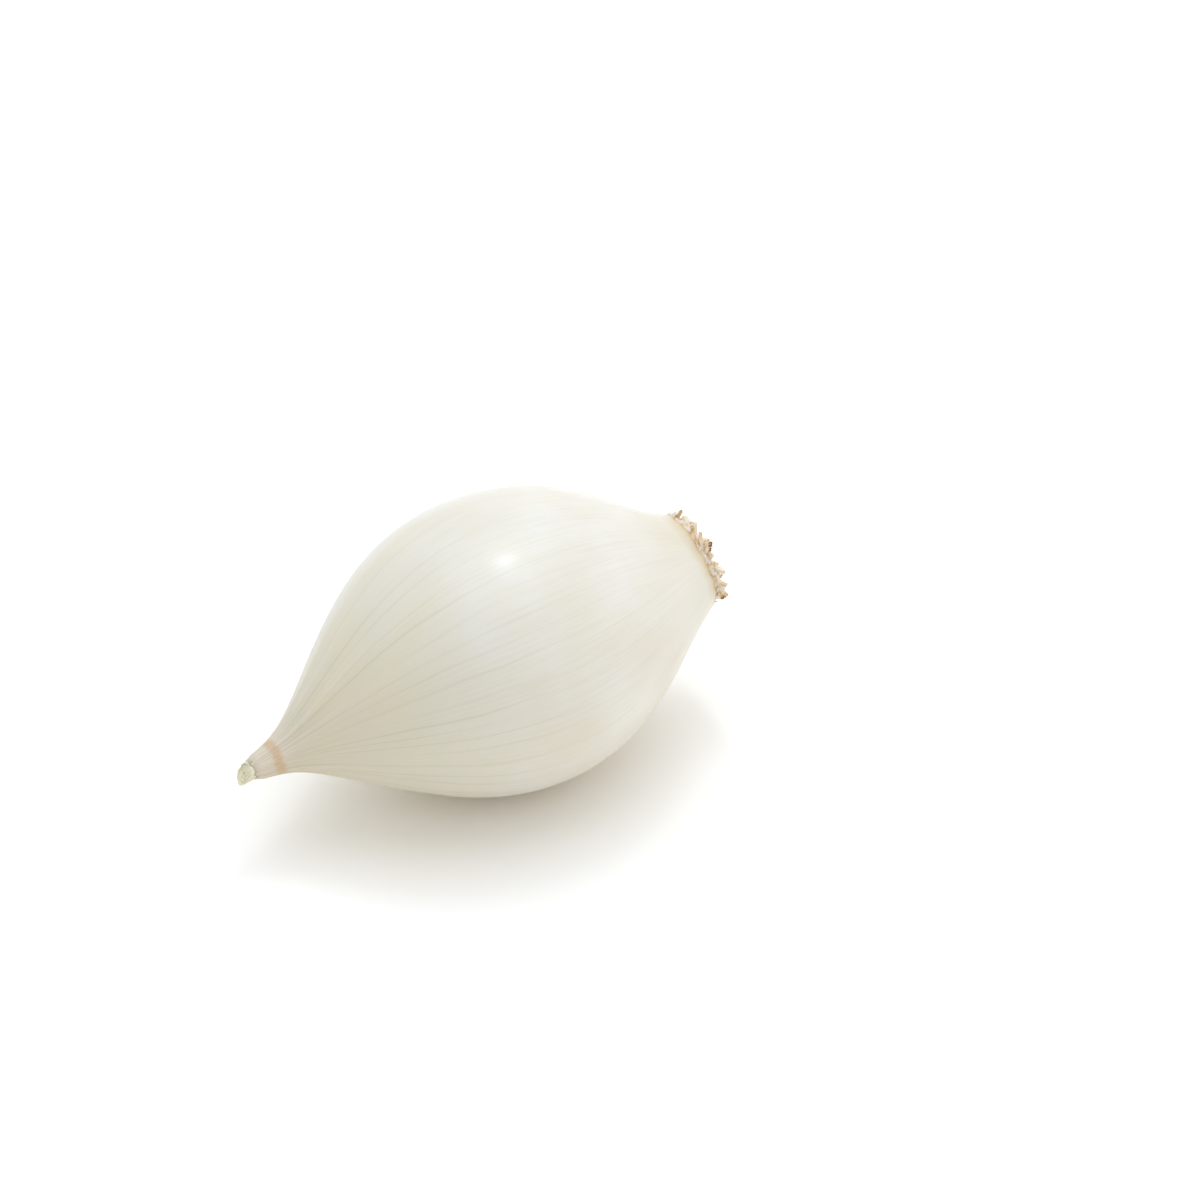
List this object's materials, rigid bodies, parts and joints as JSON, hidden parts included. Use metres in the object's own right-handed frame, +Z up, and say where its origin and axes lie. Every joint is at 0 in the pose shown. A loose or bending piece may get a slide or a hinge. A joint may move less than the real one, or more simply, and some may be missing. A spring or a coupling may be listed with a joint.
{
  "type": "white onion",
  "caption": "Peeled white onion lying on its side: a smooth round bulb that draws out to a wrinkled, cut neck, with a corky root plate and short trimmed roots.",
  "frame": {"origin": "on the plane that the onion lies on, under the middle of its bounding box", "axes": "+Z up; +X along the level direction of the onion's long axis, from the neck towards the root plate"},
  "size_m": [0.1242, 0.0706, 0.0688],
  "materials": {
    "onion_flesh": "waxy satin, slightly translucent",
    "dry_cork": "dry and matte",
    "dry_leaf": "dry and matte"
  },
  "bodies": {
    "root": {"bulb": "onion_flesh", "root_plate": "dry_cork", "neck_leaves": "dry_leaf"}
  },
  "joints": []
}
